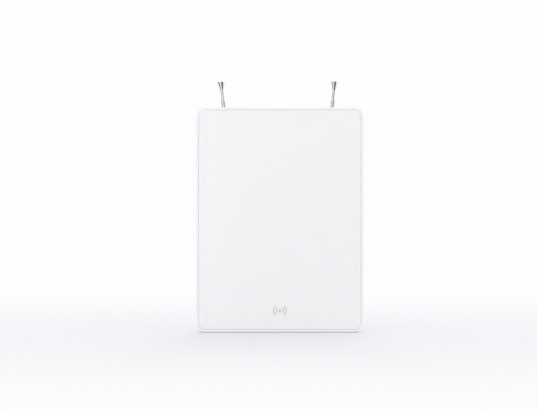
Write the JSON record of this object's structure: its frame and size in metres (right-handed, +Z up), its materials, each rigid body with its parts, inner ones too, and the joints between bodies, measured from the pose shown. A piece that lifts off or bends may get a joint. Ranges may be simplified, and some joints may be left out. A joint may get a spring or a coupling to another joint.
{
  "type": "indoor tv antenna",
  "caption": "Flat white upright indoor television antenna with telescopic rods that fan out behind the panel, a fold-out foot and a coaxial socket on the back.",
  "frame": {"origin": "on the table, under the middle of the bounding box, with the foot folded out and the rods pushed in", "axes": "+Z up; -Y the way the white face looks; +X to the right of someone who looks at the face"},
  "size_m": [0.164, 0.076, 0.2477],
  "materials": {
    "cover_white": "smooth white, soft gloss",
    "casing_white": "white, soft gloss",
    "housing_white": "white, fine matte texture",
    "rod_chrome": "bright chrome plating",
    "nickel": "nickel plating, satin",
    "steel": "zinc-plated steel",
    "brass": "turned brass",
    "copper_wire": "enamelled copper wire",
    "tinned_plate": "bright tinned plate",
    "board": "green board laminate",
    "ferrite": "dark grey ferrite",
    "ceramic": "ochre ceramic coating",
    "insulator": "white, waxy",
    "pad_rubber": "grey rubber, matte"
  },
  "bodies": {
    "case": {"front_cover": "cover_white", "rear_casing": "casing_white", "case_screws": "steel", "bottom_pads": "pad_rubber", "matching_board": "board", "board_screws": "steel", "ferrite_core": "ferrite", "balun_winding": "copper_wire", "board_capacitors": "ceramic", "fork_nuts": "brass", "rear_housing": "housing_white", "housing_screws": "steel", "fork_screws": "steel", "coax_socket": "nickel", "socket_insulator": "insulator", "socket_contact": "brass", "socket_washer": "nickel", "socket_nut": "nickel", "foot_pin": "steel", "left_radiator": "tinned_plate", "left_contact_strap": "brass", "left_fork": "nickel", "left_pivot_screw": "steel", "left_washers": "brass", "right_radiator": "tinned_plate", "right_contact_strap": "brass", "right_fork": "nickel", "right_pivot_screw": "steel", "right_washers": "brass"},
    "foot": {"folding_foot": "housing_white", "foot_pads": "pad_rubber"},
    "left_base": {"left_rod_foot": "rod_chrome", "left_base_tube": "rod_chrome"},
    "left_middle": {"left_middle_tube": "rod_chrome", "left_middle_bush": "brass"},
    "left_upper": {"left_upper_tube": "rod_chrome", "left_upper_bush": "brass"},
    "left_tip": {"left_tip_tube": "rod_chrome", "left_tip_bush": "brass", "left_tip_cone": "rod_chrome"},
    "right_base": {"right_rod_foot": "rod_chrome", "right_base_tube": "rod_chrome"},
    "right_middle": {"right_middle_tube": "rod_chrome", "right_middle_bush": "brass"},
    "right_upper": {"right_upper_tube": "rod_chrome", "right_upper_bush": "brass"},
    "right_tip": {"right_tip_tube": "rod_chrome", "right_tip_bush": "brass", "right_tip_cone": "rod_chrome"}
  },
  "joints": [
    {"name": "foot_fold", "type": "hinge", "parent": "case", "child": "foot", "pos_m": [0, -0.018, 0.0052], "axis": [1, 0, 0], "range_deg": [0, 90]},
    {"name": "left_rod_swing", "type": "hinge", "parent": "case", "child": "left_base", "pos_m": [-0.037, -0.0185, 0.06], "axis": [0, -1, 0], "range_deg": [-6.4, 83.6]},
    {"name": "left_middle_slide", "type": "slide", "parent": "left_base", "child": "left_middle", "axis": [-0.1115, 0, 0.9938], "range_m": [0, 0.1187]},
    {"name": "left_upper_slide", "type": "slide", "parent": "left_middle", "child": "left_upper", "axis": [-0.1115, 0, 0.9938], "range_m": [0, 0.1162]},
    {"name": "left_tip_slide", "type": "slide", "parent": "left_upper", "child": "left_tip", "axis": [-0.1115, 0, 0.9938], "range_m": [0, 0.1177]},
    {"name": "right_rod_swing", "type": "hinge", "parent": "case", "child": "right_base", "pos_m": [0.037, -0.0185, 0.06], "axis": [0, 1, 0], "range_deg": [-5.4, 84.6]},
    {"name": "right_middle_slide", "type": "slide", "parent": "right_base", "child": "right_middle", "axis": [0.0941, 0, 0.9956], "range_m": [0, 0.1187]},
    {"name": "right_upper_slide", "type": "slide", "parent": "right_middle", "child": "right_upper", "axis": [0.0941, 0, 0.9956], "range_m": [0, 0.1162]},
    {"name": "right_tip_slide", "type": "slide", "parent": "right_upper", "child": "right_tip", "axis": [0.0941, 0, 0.9956], "range_m": [0, 0.1177]}
  ]
}
